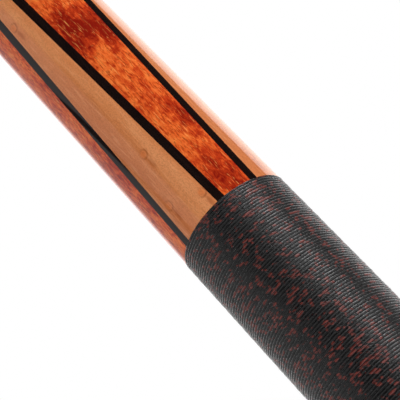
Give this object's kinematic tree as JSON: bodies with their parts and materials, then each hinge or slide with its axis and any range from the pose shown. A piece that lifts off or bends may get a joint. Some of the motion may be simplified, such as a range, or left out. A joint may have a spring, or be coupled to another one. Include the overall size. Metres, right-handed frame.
{
  "type": "pool cue",
  "caption": "Two-piece pool cue with spliced points framed in black veneer, a flecked linen wrap, a threaded joint, and a push-in rubber bumper.",
  "frame": {"origin": "centre of the flat foot of the rubber bumper", "axes": "+Z along the cue from butt to tip; one of the four points faces +X"},
  "size_m": [0.0318, 0.0318, 1.487],
  "materials": {
    "red_maple": "figured maple stained orange-red under a glossy clear coat",
    "pale_maple": "birdseye maple under the same glossy clear coat",
    "shaft_maple": "straight-grained hard maple, satin",
    "core_maple": "plain unfinished maple",
    "black_veneer": "dyed black veneer under the glossy clear coat",
    "linen": "pressed linen thread, charcoal flecked with brick red",
    "phenolic": "polished black phenolic",
    "nickel_silver": "polished nickel silver",
    "steel": "turned stainless steel",
    "brass": "turned brass",
    "ferrule_white": "off-white ferrule plastic, satin",
    "fibre": "red vulcanised fibre",
    "tip_leather": "layered leather with chalk on its crown",
    "rubber": "moulded black rubber"
  },
  "bodies": {
    "butt_half": {"butt_cap": "phenolic", "cap_ring": "nickel_silver", "butt_sleeve": "red_maple", "weight_bolt": "steel", "handle_core": "core_maple", "linen_wrap": "linen", "handle_stud": "steel", "forearm": "red_maple", "butt_ring": "nickel_silver", "butt_collar": "phenolic", "joint_pin": "steel", "point_1": "pale_maple", "veneer_1": "black_veneer", "point_2": "pale_maple", "veneer_2": "black_veneer", "point_3": "pale_maple", "veneer_3": "black_veneer", "point_4": "pale_maple", "veneer_4": "black_veneer", "sleeve_point_1": "pale_maple", "sleeve_veneer_1": "black_veneer", "sleeve_point_2": "pale_maple", "sleeve_veneer_2": "black_veneer", "sleeve_point_3": "pale_maple", "sleeve_veneer_3": "black_veneer", "sleeve_point_4": "pale_maple", "sleeve_veneer_4": "black_veneer"},
    "shaft_lift": {"shaft_ring": "nickel_silver"},
    "shaft_half": {"shaft": "shaft_maple", "shaft_collar": "phenolic", "shaft_insert": "brass", "ferrule": "ferrule_white", "tip_pad": "fibre", "tip": "tip_leather"},
    "bumper": {"bumper": "rubber"}
  },
  "joints": [
    {"name": "shaft_rise", "type": "slide", "parent": "butt_half", "child": "shaft_lift", "axis": [0, 0, 1], "range_m": [0, 0.02857]},
    {"name": "shaft_unscrew", "type": "hinge", "parent": "shaft_lift", "child": "shaft_half", "pos_m": [0, 0, 0.75], "axis": [0, 0, 1], "range_deg": [0, 3240]},
    {"name": "bumper_pull", "type": "slide", "parent": "butt_half", "child": "bumper", "axis": [0, 0, -1], "range_m": [0, 0.016]}
  ],
  "couplings": [
    {"joint": "shaft_unscrew", "follows": "shaft_rise", "rad_per_m": 1979}
  ]
}
